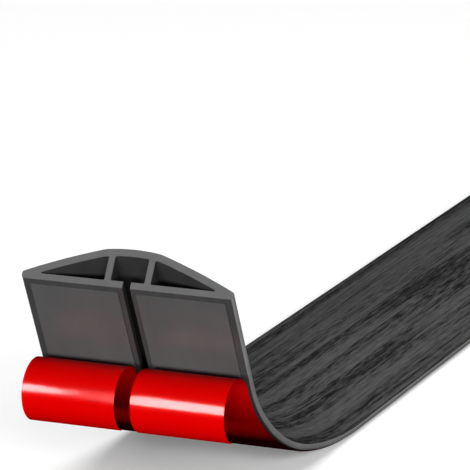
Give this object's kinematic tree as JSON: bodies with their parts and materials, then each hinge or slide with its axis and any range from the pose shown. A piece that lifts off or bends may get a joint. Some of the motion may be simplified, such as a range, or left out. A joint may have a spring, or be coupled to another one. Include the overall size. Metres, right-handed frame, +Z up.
{
  "type": "floor cord cover",
  "caption": "Soft low-profile floor strip with a slit cable channel and adhesive tape underneath, one end curled up with its release liners peeled into rolls.",
  "frame": {"origin": "on the floor, under the middle of the cover's length and width", "axes": "+X along the cover to its far cut end, away from the curled end; +Y across the cover; +Z up from the floor"},
  "size_m": [0.9684, 0.0766, 0.0894],
  "materials": {
    "soft_pvc": "satin, streaked along its length",
    "adhesive_tape": "smooth",
    "release_liner": "glossy film"
  },
  "bodies": {
    "root": {"cover_extrusion": "soft_pvc", "adhesive_tape_left": "adhesive_tape", "adhesive_tape_right": "adhesive_tape", "release_liner_left": "release_liner", "release_liner_right": "release_liner"}
  },
  "joints": []
}
